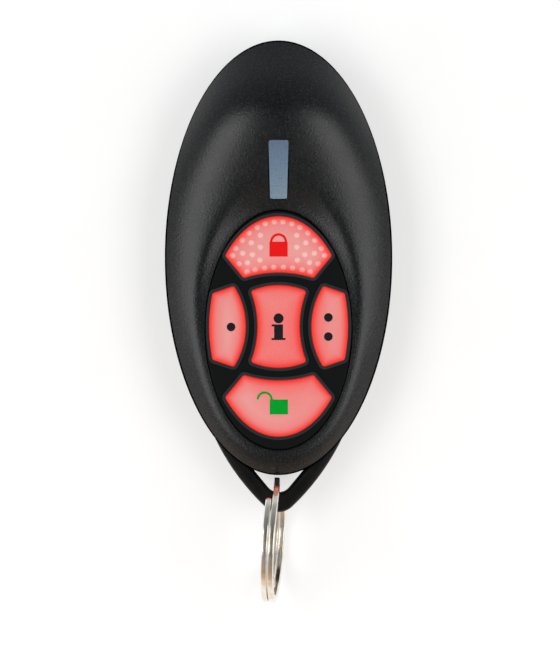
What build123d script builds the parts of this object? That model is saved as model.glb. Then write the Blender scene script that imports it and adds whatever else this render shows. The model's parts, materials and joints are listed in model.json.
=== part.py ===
from build123d import *
import math
import os

# A hand-held alarm key fob, lying on its flat back. Millimetres, +Z out of the
# button face, +Y towards the crest, the key ring hangs at the -Y end.
# The origin is the middle of the flat back.

os.makedirs("parts", exist_ok=True)

# Body outline, seen from the front: an ellipse that reaches past the keypad oval
body_side_gap = 6.5
body_end_gap = 4.09
rear_cover_depth = 8.4
rear_edge_radius = 3.4
parting_chamfer = 0.15
side_wall = 1.4
floor_wall = 1.4
top_wall = 1.3

# The domed face: a rim height, a plain crown, a crest above the lens, a tail over the loop
rim_band = 0.6
crown_height = 3.0
crest_rise = 4.0
crest_inset = 9.05
crest_spread = 11.0
tail_rise = 2.0
tail_inset = 1.05
tail_spread = 9.0
rim_radius = 0.6
surface_tolerance = 0.005
surface_overrun = 1.2
surface_columns = 45
surface_rows = 81
spline_steps = 12

# The oval keypad opening round the keys and the shallow dish that runs down to it
keypad_side_margin = 0.65
keypad_end_margin = 1.6
keypad_drop = 0.58
keypad_clearance = 0.1
keypad_collar = 1.2
keypad_flange = 0.9
keypad_flange_thickness = 0.5
frame_underside_z = 9.4
frame_top_z = 10.7
frame_edge_radius = 0.3
frame_leg_diameter = 1.4
frame_leg_inset = 2.6
frame_leg_rise = 0.42
dish_lip = 0.15
dish_reach_share = 0.12
dish_softness_share = 0.05

# Keys, given about the middle of the key group
group_y = -11.08
group_half_width = 11.2
group_half_height = 17.7
end_key_corner_angle = 40.0
end_key_height = 9.92
end_key_inner_width_share = 0.5
end_key_inner_rise = 0.9
side_key_inner_inset = 4.0
side_key_row_gap = 1.28
side_key_inner_bulge = 1.92
side_key_outer_inset = 0.6
side_key_outer_drop = 1.16
side_key_outer_bulge = 0.55
info_key_side_gap = 2.73
info_key_row_gap = 2.1
info_key_bulge = 0.95
info_key_waist = 1.1
key_corner_radius = 0.45
key_clearance = 0.1
key_flange = 0.45
key_flange_thickness = 0.6
key_flange_gap = 0.1
key_proud = 0.6
key_edge_radius = 0.22
key_travel = 0.35
collar_width = 0.45
collar_height = 0.22
collar_edge_radius = 0.08
plunger_diameter = 2.0

# Raised dots on the lock key, by half of its width and by its height
bump_diameter = 0.9
bump_top_diameter = 0.5
bump_height = 0.12
bump_root = 0.06
bump_shares = [
    (0.08, 0.91), (0.25, 0.88), (0.40, 0.82), (0.55, 0.73), (0.68, 0.61), (0.80, 0.48),
    (0.86, 0.36), (0.09, 0.17), (0.26, 0.16), (0.44, 0.13), (0.59, 0.10), (0.74, 0.23),
    (0.34, 0.69), (0.51, 0.57), (0.67, 0.40), (0.34, 0.50), (0.49, 0.38), (0.58, 0.25),
    (0.35, 0.29),
]

# Signs let into the key tops
legend_depth = 0.25
padlock_width = 2.94
padlock_height = 2.4
closed_padlock_rise = 4.62
closed_shackle_width = 2.73
closed_shackle_stroke = 0.39
open_padlock_x = 0.05
open_padlock_drop = 5.14
open_shackle_width = 2.6
open_shackle_stroke = 0.36
open_shackle_overlap = 0.5
info_dot_diameter = 1.6
info_dot_rise = 1.3
info_stem_width = 1.42
info_stem_height = 2.5
info_stem_drop = 0.93
info_serif_height = 0.32
info_serif_overhang = 0.42
dot_diameter = 1.39
one_dot_inset = 3.57
two_dot_inset = 3.21
two_dot_pitch = 3.07
dot_drop = 0.09

# The status lens, a tapered bar that follows the dome
lens_gap = 1.76
lens_length = 9.28
lens_top_width = 3.2
lens_bottom_width = 2.7
lens_corner_radius = 0.35
lens_clearance = 0.05
lens_flange = 0.6
lens_flange_thickness = 0.8

# The key ring loop, part of the rear cover
loop_thickness = 2.94
loop_edge_radius = 1.0
loop_root_x = 11.1
loop_root_inset = 7.75
loop_side_x = 7.86
loop_side_inset = 1.6
loop_reach = 7.1
loop_end_radius = 3.2
eye_half_width = 4.77
eye_top_inset = 1.65
eye_reach = 4.1
eye_apex_radius = 2.2
eye_edge_radius = 0.9

# Seam lip, screw towers and posts
fit_clearance = 0.05
lip_thickness = 0.6
lip_height = 1.0
tower_joint_z = 5.0
tower_diameter = 4.4
boss_diameter = 3.6
crest_screw_inset = 6.85
side_screw_inset = 5.95
side_screw_drop = 5.64
screw_diameter = 1.6
screw_hole_clearance = 0.1
screw_head_diameter = 2.8
screw_head_height = 1.0
screw_head_clearance = 0.15
screw_recess = 1.0
screw_reach = 3.2
screw_tip_gap = 0.4
screw_slot_length = 1.8
screw_slot_width = 0.5
screw_slot_depth = 0.5
post_diameter = 2.6
post_inset = 6.05
post_y = -8.5
low_post_x = 7.6
low_post_inset = 10.55
crest_post_x = 8.6
crest_post_inset = 9.65

# Circuit board and what is soldered to it
board_underside_z = 5.55
board_thickness = 0.8
board_gap = 0.8
board_notch_gap = 0.3
switch_width = 4.0
switch_height = 1.0
switch_corner_radius = 0.4
switch_base = 0.2
stem_diameter = 1.6
stem_clearance = 0.05
key_stop_gap = 0.05
stem_depth = 0.4
lock_switch_rise = 4.5
unlock_switch_drop = 4.54
side_switch_inset = 3.0
led_length = 1.6
led_width = 0.8
led_height = 0.6
led_spread = 3.6
status_led_length = 3.2
status_led_width = 1.6
status_led_height = 1.1
controller_size = 5.0
controller_height = 0.9
controller_y = -8.0
radio_size = 3.2
radio_height = 0.8
radio_y = -17.0
crystal_length = 3.2
crystal_width = 2.5
crystal_height = 0.7
crystal_x = 5.4
chip_length = 1.0
chip_width = 0.5
chip_height = 0.45
chip_pitch = 1.7
chip_columns = 2
chip_rows = 6
chip_x = -6.4
antenna_width = 1.0
antenna_thickness = 0.15
antenna_inset = 1.1
antenna_top_y = -4.6
package_edge = 0.15

# Coin cell, its strap and its contact
cell_diameter = 20.0
cell_height = 3.2
cell_tower_gap = 3.0
cell_edge_radius = 0.35
cell_cap_diameter = 17.6
cell_cap_step = 0.3
contact_thickness = 0.3
contact_diameter = 8.0
strap_thickness = 0.3
strap_width = 6.0
strap_side_gap = 0.6
strap_foot = 1.5

# The split ring, two turns of flat wire hanging on the loop bar
ring_diameter = 20.2
ring_band = 1.2
ring_wire = 0.78
ring_gap = 0.45
ring_edge_radius = 0.15
ring_rest_gap = 0.02
ring_samples = 24
ring_lean = 3.5
ring_yaw = 5.0
ring_play = 0.7
ring_shift_x = -0.48

# One overrun for every cut
overrun = 1.0

# The keypad oval and the body round it, from the sizes of the key group
keypad_width = 2 * (group_half_width + keypad_side_margin)
keypad_length = 2 * (group_half_height + keypad_end_margin)
keypad_y = group_y - keypad_drop
keypad_top_y = keypad_y + keypad_length / 2
half_width = keypad_width / 2 + body_side_gap
half_length = keypad_length / 2 - keypad_y + body_end_gap
body_width = 2 * half_width
body_length = 2 * half_length
crest_y = half_length - crest_inset
tail_y = tail_inset - half_length

# Places of the keys, their signs, the switches and the lens
end_key_inner_height = group_half_height - end_key_height
end_key_bottom_y = group_y + end_key_inner_height
end_key_inner_half_width = group_half_width * end_key_inner_width_share
end_key_half_width = group_half_width * math.cos(math.radians(end_key_corner_angle))
low_key_top_y = group_y - end_key_inner_height
side_key_inner_x = group_half_width - side_key_inner_inset
side_key_inner_half_height = end_key_inner_height - side_key_row_gap
side_key_outer_x = group_half_width - side_key_outer_inset
side_key_outer_half_height = side_key_inner_half_height - side_key_outer_drop
info_key_half_width = side_key_inner_x - info_key_side_gap
info_key_half_height = end_key_inner_height - info_key_row_gap
closed_padlock_y = end_key_bottom_y + closed_padlock_rise
open_padlock_y = low_key_top_y - open_padlock_drop
one_dot_x = one_dot_inset - group_half_width
two_dot_x = group_half_width - two_dot_inset
dot_y = group_y - dot_drop
lock_switch_y = end_key_bottom_y + lock_switch_rise
unlock_switch_y = low_key_top_y - unlock_switch_drop
side_switch_x = group_half_width - side_switch_inset
frame_leg_x = group_half_width - frame_leg_inset
frame_leg_y = end_key_inner_height + frame_leg_rise
lens_bottom_y = keypad_top_y + lens_gap
lens_top_y = lens_bottom_y + lens_length

# Places of the loop, the screws, the posts and the coin cell
loop_root_y = loop_root_inset - half_length
loop_side_y = loop_side_inset - half_length
loop_corner_y = -half_length - loop_reach
eye_top_y = eye_top_inset - half_length
eye_corner_y = -half_length - eye_reach
crest_screw_y = half_length - crest_screw_inset
side_screw_x = half_width - side_screw_inset
side_screw_y = keypad_top_y - side_screw_drop
post_x = half_width - post_inset
low_post_y = low_post_inset - half_length
crest_post_y = half_length - crest_post_inset
cell_y = crest_screw_y - tower_diameter / 2 - cell_diameter / 2 - cell_tower_gap

# Heights and insets worked out from the ones above
rim_z = rear_cover_depth + rim_band
frame_thickness = frame_top_z - frame_underside_z
collar_seat_z = frame_underside_z + keypad_flange_thickness
dish_z = frame_top_z + dish_lip
board_top_z = board_underside_z + board_thickness
cell_top_z = board_underside_z - contact_thickness
cell_bottom_z = cell_top_z - cell_height
key_flange_top_z = frame_underside_z - key_flange_gap
key_flange_z = key_flange_top_z - key_flange_thickness
key_top_z = frame_top_z + key_proud
stem_rise = key_travel + key_stop_gap
stem_top_z = board_top_z + switch_height + stem_rise
cover_top_z = rim_z + crown_height + crest_rise
lip_inset = side_wall + fit_clearance
cavity_inset = lip_inset + lip_thickness
loop_z = rear_cover_depth - loop_thickness
eye_slant = math.hypot(eye_half_width, eye_top_y - eye_corner_y) / eye_half_width
eye_apex_y = eye_corner_y + eye_apex_radius * (eye_slant - 1)
bar_z = loop_z + loop_thickness / 2
tower_places = [(0, crest_screw_y), (side_screw_x, side_screw_y), (-side_screw_x, side_screw_y)]
post_places = [
    (post_x, post_y), (-post_x, post_y), (low_post_x, low_post_y), (-low_post_x, low_post_y),
    (crest_post_x, crest_post_y), (-crest_post_x, crest_post_y),
]
switch_places = {
    "lock": (0, lock_switch_y),
    "unlock": (0, unlock_switch_y),
    "info": (0, group_y),
    "one_dot": (-side_switch_x, group_y),
    "two_dot": (side_switch_x, group_y),
}


def dome_height(x, y):
    """Height of the outer face of the front cover over a point of the outline's plane."""
    rim_share = (x / half_width) ** 2 + (y / half_length) ** 2
    crest = crest_rise * math.exp(-(((y - crest_y) / crest_spread) ** 2))
    tail = tail_rise * math.exp(-(((y - tail_y) / tail_spread) ** 2))
    plain = rim_z + (crown_height + crest + tail) * (1 - rim_share**2)
    oval_share = math.hypot(2 * x / keypad_width, 2 * (y - keypad_y) / keypad_length)
    dish_share = 1 / (1 + math.exp((oval_share - 1 - dish_reach_share) / dish_softness_share))
    return plain + (dish_z - plain) * dish_share


def dome_face(drop):
    """The outer face of the front cover, lowered by drop, a little larger than the outline."""
    reach_x = half_width + surface_overrun
    reach_y = half_length + surface_overrun
    rows = []
    for column in range(surface_columns):
        x = reach_x * (2 * column / (surface_columns - 1) - 1)
        row = []
        for step in range(surface_rows):
            y = reach_y * (2 * step / (surface_rows - 1) - 1)
            row.append((x, y, dome_height(x, y) - drop))
        rows.append(row)
    return Face.make_surface_from_array_of_points(rows, tol=surface_tolerance)


def end_key_face():
    """Outline of the lock key: an arc of the group's ellipse over a hollow lower edge."""
    with BuildSketch() as sketch:
        with BuildLine():
            crown = EllipticalCenterArc(
                (0, group_y),
                group_half_width,
                group_half_height,
                start_angle=end_key_corner_angle,
                arc_size=180 - 2 * end_key_corner_angle,
            )
            inner_left = (-end_key_inner_half_width, end_key_bottom_y)
            inner_right = (end_key_inner_half_width, end_key_bottom_y)
            inner_middle = (0, end_key_bottom_y + end_key_inner_rise)
            Line(crown @ 1, inner_left)
            ThreePointArc(inner_left, inner_middle, inner_right)
            Line(inner_right, crown @ 0)
        make_face()
        fillet(sketch.vertices(), key_corner_radius)
    return sketch.sketch


def low_key_face():
    """Outline of the unlock key, the lock key mirrored about the middle of the group."""
    with BuildSketch() as sketch:
        mirror(end_key_face(), about=Plane.XZ.offset(-group_y), mode=Mode.ADD)
    return sketch.sketch


def info_key_face():
    """Outline of the middle key: bulging ends and a drawn-in waist."""
    top_y = group_y + info_key_half_height
    bottom_y = group_y - info_key_half_height
    waist_x = info_key_half_width - info_key_waist
    with BuildSketch() as sketch:
        with BuildLine():
            top_left = (-info_key_half_width, top_y)
            top_right = (info_key_half_width, top_y)
            low_left = (-info_key_half_width, bottom_y)
            low_right = (info_key_half_width, bottom_y)
            ThreePointArc(top_left, (0, top_y + info_key_bulge), top_right)
            ThreePointArc(top_right, (waist_x, group_y), low_right)
            ThreePointArc(low_right, (0, bottom_y - info_key_bulge), low_left)
            ThreePointArc(low_left, (-waist_x, group_y), top_left)
        make_face()
        fillet(sketch.vertices(), key_corner_radius)
    return sketch.sketch


def side_key_face(side):
    """Outline of a side key: side is 1 on the right and -1 on the left."""
    inner_x = side * side_key_inner_x
    outer_x = side * side_key_outer_x
    inner_middle = (inner_x - side * side_key_inner_bulge, group_y)
    outer_middle = (outer_x + side * side_key_outer_bulge, group_y)
    with BuildSketch() as sketch:
        with BuildLine():
            inner_top = (inner_x, group_y + side_key_inner_half_height)
            inner_low = (inner_x, group_y - side_key_inner_half_height)
            outer_top = (outer_x, group_y + side_key_outer_half_height)
            outer_low = (outer_x, group_y - side_key_outer_half_height)
            ThreePointArc(inner_top, inner_middle, inner_low)
            Line(inner_low, outer_low)
            ThreePointArc(outer_low, outer_middle, outer_top)
            Line(outer_top, inner_top)
        make_face()
        fillet(sketch.vertices(), key_corner_radius)
    return sketch.sketch


def keypad_face(grow):
    """The keypad oval, wider by grow all round."""
    with BuildSketch() as sketch:
        with Locations((0, keypad_y)):
            Ellipse(keypad_width / 2 + grow, keypad_length / 2 + grow)
    return sketch.sketch


def lens_face(grow):
    """The lens outline, wider by grow all round."""
    with BuildSketch() as sketch:
        with BuildLine():
            Polyline(
                (-lens_top_width / 2, lens_top_y),
                (lens_top_width / 2, lens_top_y),
                (lens_bottom_width / 2, lens_bottom_y),
                (-lens_bottom_width / 2, lens_bottom_y),
                close=True,
            )
        make_face()
        fillet(sketch.vertices(), lens_corner_radius)
        if grow > 0:
            offset(amount=grow)
    return sketch.sketch


def closed_padlock_face():
    """A closed padlock: a block with a half-ring shackle standing on it."""
    body_top_y = closed_padlock_y + padlock_height / 2
    with BuildSketch() as sketch:
        with Locations((0, body_top_y)):
            Circle(closed_shackle_width / 2)
            Circle(closed_shackle_width / 2 - closed_shackle_stroke, mode=Mode.SUBTRACT)
        with Locations((0, closed_padlock_y)):
            Rectangle(padlock_width, padlock_height)
    return sketch.sketch


def open_padlock_face():
    """An open padlock: the shackle stands on the left corner and its other foot is free."""
    body_top_y = open_padlock_y + padlock_height / 2
    body_left_x = open_padlock_x - padlock_width / 2
    shackle_x = body_left_x + open_shackle_overlap - open_shackle_width / 2
    with BuildSketch() as sketch:
        with Locations((shackle_x, body_top_y)):
            Circle(open_shackle_width / 2)
            Circle(open_shackle_width / 2 - open_shackle_stroke, mode=Mode.SUBTRACT)
        with Locations((shackle_x, body_top_y - open_shackle_width / 2)):
            Rectangle(open_shackle_width, open_shackle_width, mode=Mode.SUBTRACT)
        with Locations((open_padlock_x, open_padlock_y)):
            Rectangle(padlock_width, padlock_height)
    return sketch.sketch


def info_sign_face():
    """A small letter i with a dot, a flag on its stem and a foot."""
    stem_y = group_y - info_stem_drop
    stem_top_y = stem_y + info_stem_height / 2
    stem_bottom_y = stem_y - info_stem_height / 2
    flag_width = info_stem_width / 2 + info_serif_overhang
    foot_width = info_stem_width + 2 * info_serif_overhang
    with BuildSketch() as sketch:
        with Locations((0, group_y + info_dot_rise)):
            Circle(info_dot_diameter / 2)
        with Locations((0, stem_y)):
            Rectangle(info_stem_width, info_stem_height)
        with Locations((-flag_width / 2, stem_top_y - info_serif_height / 2)):
            Rectangle(flag_width, info_serif_height)
        with Locations((0, stem_bottom_y + info_serif_height / 2)):
            Rectangle(foot_width, info_serif_height)
    return sketch.sketch


def one_dot_face():
    """One round dot on the left key."""
    with BuildSketch() as sketch:
        with Locations((one_dot_x, dot_y)):
            Circle(dot_diameter / 2)
    return sketch.sketch


def two_dot_face():
    """Two round dots, one over the other, on the right key."""
    with BuildSketch() as sketch:
        with Locations((two_dot_x, dot_y)):
            with GridLocations(0, two_dot_pitch, 1, 2):
                Circle(dot_diameter / 2)
    return sketch.sketch


def grown_face(face, grow):
    """An outline wider by grow all round, redrawn in lines, arcs and splines."""
    with BuildSketch() as wide:
        add(face)
        offset(amount=grow)
    with BuildSketch() as sketch:
        with BuildLine():
            for edge in wide.sketch.face().outer_wire().edges():
                if edge.geom_type == GeomType.LINE:
                    Line(edge @ 0, edge @ 1)
                elif edge.geom_type == GeomType.CIRCLE:
                    ThreePointArc(edge @ 0, edge @ 0.5, edge @ 1)
                else:
                    Spline(*[edge @ (step / spline_steps) for step in range(spline_steps + 1)])
        make_face()
    return sketch.sketch


key_faces = {
    "lock": end_key_face(),
    "unlock": low_key_face(),
    "info": info_key_face(),
    "one_dot": side_key_face(-1),
    "two_dot": side_key_face(1),
}
key_openings = {name: grown_face(face, key_clearance) for name, face in key_faces.items()}
key_flanges = {name: grown_face(face, key_flange) for name, face in key_faces.items()}
collar_faces = {
    name: grown_face(face, key_clearance + collar_width) for name, face in key_faces.items()
}
legend_faces = {
    "lock": closed_padlock_face(),
    "unlock": open_padlock_face(),
    "info": info_sign_face(),
    "one_dot": one_dot_face(),
    "two_dot": two_dot_face(),
}
outer_dome = dome_face(0)
inner_dome = dome_face(top_wall)
flange_dome = dome_face(top_wall + lens_flange_thickness)

# The space under the dome, used to bound whatever reaches up to the cover's inner face
with BuildPart() as under_dome:
    with BuildSketch(Plane.XY.offset(-overrun)):
        Ellipse(half_width - cavity_inset, half_length - cavity_inset)
    extrude(amount=cover_top_z + 2 * overrun)
    split(bisect_by=inner_dome, keep=Keep.BOTTOM)

# The front cover's shell: the dome, its rounded rim and the lip inside its edge
with BuildPart() as cover_shell:
    with BuildSketch(Plane.XY.offset(rear_cover_depth)):
        Ellipse(half_width, half_length)
    extrude(amount=cover_top_z - rear_cover_depth + overrun)
    split(bisect_by=outer_dome, keep=Keep.BOTTOM)
    fillet(cover_shell.faces().sort_by(Axis.Z)[-1].edges(), rim_radius)
    chamfer(cover_shell.faces().sort_by(Axis.Z)[0].edges(), parting_chamfer)
    with BuildSketch(Plane.XY.offset(rear_cover_depth - lip_height)):
        Ellipse(half_width - lip_inset, half_length - lip_inset)
    extrude(amount=lip_height)
    add(under_dome.part, mode=Mode.SUBTRACT)

# The collar round the keypad opening and the three screw bosses
with BuildPart() as inner_towers:
    with BuildSketch(Plane.XY.offset(collar_seat_z)):
        add(keypad_face(keypad_collar))
    extrude(amount=cover_top_z - collar_seat_z)
    with BuildSketch(Plane.XY.offset(tower_joint_z)):
        with Locations(*tower_places):
            Circle(boss_diameter / 2)
    extrude(amount=cover_top_z - tower_joint_z)
    split(bisect_by=outer_dome, keep=Keep.BOTTOM)

# Front cover: the shell, collar and bosses, opened for the keypad, the lens and the screws
with BuildPart() as front_cover:
    add(cover_shell.part)
    add(inner_towers.part)
    with BuildSketch(Plane.XY.offset(rear_cover_depth)):
        add(keypad_face(keypad_flange + keypad_clearance))
    extrude(amount=collar_seat_z - rear_cover_depth, mode=Mode.SUBTRACT)
    with BuildSketch(Plane.XY.offset(rear_cover_depth)):
        add(keypad_face(keypad_clearance))
    extrude(amount=cover_top_z, mode=Mode.SUBTRACT)
    with BuildSketch(Plane.XY.offset(rear_cover_depth)):
        add(lens_face(lens_clearance))
    extrude(amount=cover_top_z, mode=Mode.SUBTRACT)
    with BuildSketch(Plane.XY.offset(tower_joint_z - overrun)):
        with Locations(*tower_places):
            Circle(screw_diameter / 2)
    extrude(amount=overrun + screw_reach + screw_tip_gap, mode=Mode.SUBTRACT)
front_cover.part.label = "front_cover"
export_step(front_cover.part, "parts/front_cover.step")

# The loop behind the lower end, a rounded bar bent round a three-cornered eye
with BuildPart() as loop:
    with BuildSketch(Plane.XY.offset(loop_z)) as outline:
        with BuildLine():
            root_left = (-loop_root_x, loop_root_y)
            root_right = (loop_root_x, loop_root_y)
            corner = (0, loop_corner_y)
            Line(root_left, root_right)
            ThreePointArc(root_right, (loop_side_x, loop_side_y), corner)
            ThreePointArc(corner, (-loop_side_x, loop_side_y), root_left)
        make_face()
        fillet(outline.vertices().sort_by(Axis.Y)[0], loop_end_radius)
    extrude(amount=loop_thickness)
    outer_edges = loop.edges().filter_by(Axis.Z, reverse=True)
    fillet(outer_edges.sort_by(Axis.Y)[:-2], loop_edge_radius)
    with BuildSketch(Plane.XY.offset(loop_z - overrun)) as eye:
        with BuildLine():
            Polyline(
                (-eye_half_width, eye_top_y),
                (eye_half_width, eye_top_y),
                (0, eye_corner_y),
                close=True,
            )
        make_face()
        fillet(eye.vertices().sort_by(Axis.Y)[0], eye_apex_radius)
    extrude(amount=loop_thickness + 2 * overrun, mode=Mode.SUBTRACT)
    eye_faces = loop.faces().filter_by(lambda face: abs(face.center().X) < eye_half_width)
    fillet(eye_faces.edges().filter_by(Axis.Z, reverse=True), eye_edge_radius)

# The hollow inside the rear cover
with BuildPart() as rear_hollow:
    with BuildSketch(Plane.XY.offset(floor_wall)):
        Ellipse(half_width - side_wall, half_length - side_wall)
    extrude(amount=rear_cover_depth)
    fillet(rear_hollow.edges().group_by(Axis.Z)[0], rear_edge_radius - floor_wall)

# Rear cover: a tray with rolled edges, its loop, screw towers and board posts
with BuildPart() as rear_cover:
    with BuildSketch():
        Ellipse(half_width, half_length)
    extrude(amount=rear_cover_depth)
    fillet(rear_cover.edges().group_by(Axis.Z)[0], rear_edge_radius)
    chamfer(rear_cover.faces().sort_by(Axis.Z)[-1].edges(), parting_chamfer)
    add(loop.part)
    add(rear_hollow.part, mode=Mode.SUBTRACT)
    with BuildSketch(Plane.XY.offset(floor_wall)):
        with Locations(*tower_places):
            Circle(tower_diameter / 2)
    extrude(amount=tower_joint_z - floor_wall)
    with BuildSketch(Plane.XY.offset(floor_wall)):
        with Locations(*post_places):
            Circle(post_diameter / 2)
    extrude(amount=board_underside_z - floor_wall)
    with Locations(*[Location((x, y, 0), (180, 0, 0)) for x, y in tower_places]):
        CounterBoreHole(
            radius=screw_diameter / 2 + screw_hole_clearance,
            counter_bore_radius=screw_head_diameter / 2 + screw_head_clearance,
            counter_bore_depth=screw_recess + screw_head_height,
            depth=tower_joint_z + overrun,
        )
rear_cover.part.label = "rear_cover"
export_step(rear_cover.part, "parts/rear_cover.step")

# Keypad frame: the oval plate with an opening and a raised collar for each key
with BuildPart() as keypad_frame:
    with BuildSketch(Plane.XY.offset(frame_underside_z)):
        add(keypad_face(0))
    extrude(amount=frame_thickness)
    fillet(keypad_frame.edges().group_by(Axis.Z)[-1], frame_edge_radius)
    with BuildSketch(Plane.XY.offset(frame_underside_z)):
        add(keypad_face(keypad_flange))
    extrude(amount=keypad_flange_thickness)
    for face in collar_faces.values():
        with BuildSketch(Plane.XY.offset(frame_top_z - frame_edge_radius)):
            add(face)
        extrude(amount=frame_edge_radius + collar_height)
    fillet(keypad_frame.edges().group_by(Axis.Z)[-1], collar_edge_radius)
    for face in key_openings.values():
        with BuildSketch(Plane.XY.offset(frame_underside_z)):
            add(face)
        extrude(amount=cover_top_z, mode=Mode.SUBTRACT)
    with BuildSketch(Plane.XY.offset(board_top_z)):
        with Locations((0, group_y)):
            with GridLocations(2 * frame_leg_x, 2 * frame_leg_y, 2, 2):
                Circle(frame_leg_diameter / 2)
    extrude(amount=frame_underside_z - board_top_z)
keypad_frame.part.label = "keypad_frame"
export_step(keypad_frame.part, "parts/keypad_frame.step")


def key_part(name):
    """A key: a cap that stands through the frame, a flange under it and a plunger."""
    with BuildPart() as key:
        with BuildSketch(Plane.XY.offset(key_flange_z)):
            add(key_faces[name])
        extrude(amount=key_top_z - key_flange_z)
        fillet(key.edges().group_by(Axis.Z)[-1], key_edge_radius)
        with BuildSketch(Plane.XY.offset(key_flange_z)):
            add(key_flanges[name])
        extrude(amount=key_flange_thickness)
        with BuildSketch(Plane.XY.offset(stem_top_z)):
            with Locations(switch_places[name]):
                Circle(plunger_diameter / 2)
        extrude(amount=key_flange_z - stem_top_z)
        if name == "lock":
            bump_places = []
            for x_share, y_share in bump_shares:
                x = x_share * end_key_half_width
                y = end_key_bottom_y + y_share * end_key_height
                bump_places.append((x, y))
                bump_places.append((-x, y))
            with Locations(*[(x, y, key_top_z - bump_root) for x, y in bump_places]):
                Cone(
                    bump_diameter / 2,
                    bump_top_diameter / 2,
                    bump_root + bump_height,
                    align=(Align.CENTER, Align.CENTER, Align.MIN),
                )
        with BuildSketch(Plane.XY.offset(key_top_z - legend_depth)):
            add(legend_faces[name])
        extrude(amount=legend_depth + overrun, mode=Mode.SUBTRACT)
    return key.part


def legend_part(name):
    """The sign that fills the pocket in a key's top."""
    with BuildPart() as legend:
        with BuildSketch(Plane.XY.offset(key_top_z - legend_depth)):
            add(legend_faces[name])
        extrude(amount=legend_depth)
    return legend.part


def stem_part(name):
    """The round stem of the switch under a key."""
    with BuildPart() as stem:
        with BuildSketch(Plane.XY.offset(board_top_z + switch_height - stem_depth)):
            with Locations(switch_places[name]):
                Circle(stem_diameter / 2)
        extrude(amount=stem_depth + stem_rise)
    return stem.part


for name in key_faces:
    key = key_part(name)
    key.label = f"{name}_button"
    export_step(key, f"parts/{name}_button.step")
    legend = legend_part(name)
    legend.label = f"{name}_legend"
    export_step(legend, f"parts/{name}_legend.step")
    stem = stem_part(name)
    stem.label = f"{name}_switch_stem"
    export_step(stem, f"parts/{name}_switch_stem.step")

# Status lens: flush with the dome, with a flange under the cover's wall
with BuildPart() as lens_flange_plate:
    with BuildSketch(Plane.XY.offset(rear_cover_depth)):
        add(lens_face(lens_flange))
    extrude(amount=cover_top_z - rear_cover_depth)
    split(bisect_by=inner_dome, keep=Keep.BOTTOM)
    split(bisect_by=flange_dome, keep=Keep.TOP)

with BuildPart() as status_lens:
    with BuildSketch(Plane.XY.offset(rear_cover_depth)):
        add(lens_face(0))
    extrude(amount=cover_top_z - rear_cover_depth)
    split(bisect_by=outer_dome, keep=Keep.BOTTOM)
    split(bisect_by=flange_dome, keep=Keep.TOP)
    add(lens_flange_plate.part)
status_lens.part.label = "status_lens"
export_step(status_lens.part, "parts/status_lens.step")

# Circuit board: an oval plate with a hole round each screw boss
with BuildPart() as circuit_board:
    with BuildSketch(Plane.XY.offset(board_underside_z)):
        Ellipse(half_width - side_wall - board_gap, half_length - side_wall - board_gap)
        with Locations(*tower_places):
            Circle(boss_diameter / 2 + board_notch_gap, mode=Mode.SUBTRACT)
    extrude(amount=board_thickness)
circuit_board.part.label = "circuit_board"
export_step(circuit_board.part, "parts/circuit_board.step")

# Switch bodies: low square housings with a round well for the stem
with BuildPart() as tact_switches:
    with BuildSketch(Plane.XY.offset(board_top_z)):
        with Locations(*switch_places.values()):
            RectangleRounded(switch_width, switch_width, switch_corner_radius)
    extrude(amount=switch_height)
    with BuildSketch(Plane.XY.offset(board_top_z + switch_base)):
        with Locations(*switch_places.values()):
            Circle(stem_diameter / 2 + stem_clearance)
    extrude(amount=switch_height, mode=Mode.SUBTRACT)
tact_switches.part.label = "tact_switches"
export_step(tact_switches.part, "parts/tact_switches.step")


def chip_part(places, length, width, height, underside):
    """Flat packages on one side of the board, with their upper edges eased."""
    start_z = board_underside_z - height if underside else board_top_z
    with BuildPart() as chips:
        with BuildSketch(Plane.XY.offset(start_z)):
            with Locations(*places):
                Rectangle(length, width)
        extrude(amount=height)
        free_face = 0 if underside else -1
        chamfer(chips.edges().group_by(Axis.Z)[free_face], package_edge)
    return chips.part


led_places = [
    (led_spread, lock_switch_y), (-led_spread, lock_switch_y),
    (led_spread, unlock_switch_y), (-led_spread, unlock_switch_y),
    (0, group_y + led_spread), (0, group_y - led_spread),
    (side_switch_x, group_y + led_spread), (side_switch_x, group_y - led_spread),
    (-side_switch_x, group_y + led_spread), (-side_switch_x, group_y - led_spread),
]
lens_middle_y = (lens_top_y + lens_bottom_y) / 2
chip_places = [
    (chip_x + chip_pitch * (column - (chip_columns - 1) / 2), radio_y / 2 + controller_y / 2
     + chip_pitch * (row - (chip_rows - 1) / 2))
    for column in range(chip_columns)
    for row in range(chip_rows)
]
board_parts = {
    "backlight_leds": chip_part(led_places, led_length, led_width, led_height, False),
    "status_led": chip_part(
        [(0, lens_middle_y)], status_led_width, status_led_length, status_led_height, False
    ),
    "microcontroller": chip_part(
        [(0, controller_y)], controller_size, controller_size, controller_height, True
    ),
    "radio_chip": chip_part([(0, radio_y)], radio_size, radio_size, radio_height, True),
    "crystal": chip_part(
        [(crystal_x, radio_y)], crystal_length, crystal_width, crystal_height, True
    ),
    "chip_components": chip_part(chip_places, chip_length, chip_width, chip_height, True),
}
for name, piece in board_parts.items():
    piece.label = name
    export_step(piece, f"parts/{name}.step")

# Antenna: a flat copper strip along the low edge of the board
antenna_half_width = half_width - side_wall - board_gap - antenna_inset
antenna_half_length = half_length - side_wall - board_gap - antenna_inset
with BuildPart() as antenna_loop:
    with BuildSketch(Plane.XY.offset(board_top_z)):
        Ellipse(antenna_half_width, antenna_half_length)
        Ellipse(
            antenna_half_width - antenna_width,
            antenna_half_length - antenna_width,
            mode=Mode.SUBTRACT,
        )
        with Locations((0, antenna_top_y)):
            Rectangle(
                body_width, body_length, align=(Align.CENTER, Align.MIN), mode=Mode.SUBTRACT
            )
    extrude(amount=antenna_thickness)
antenna_loop.part.label = "antenna_loop"
export_step(antenna_loop.part, "parts/antenna_loop.step")

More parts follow.
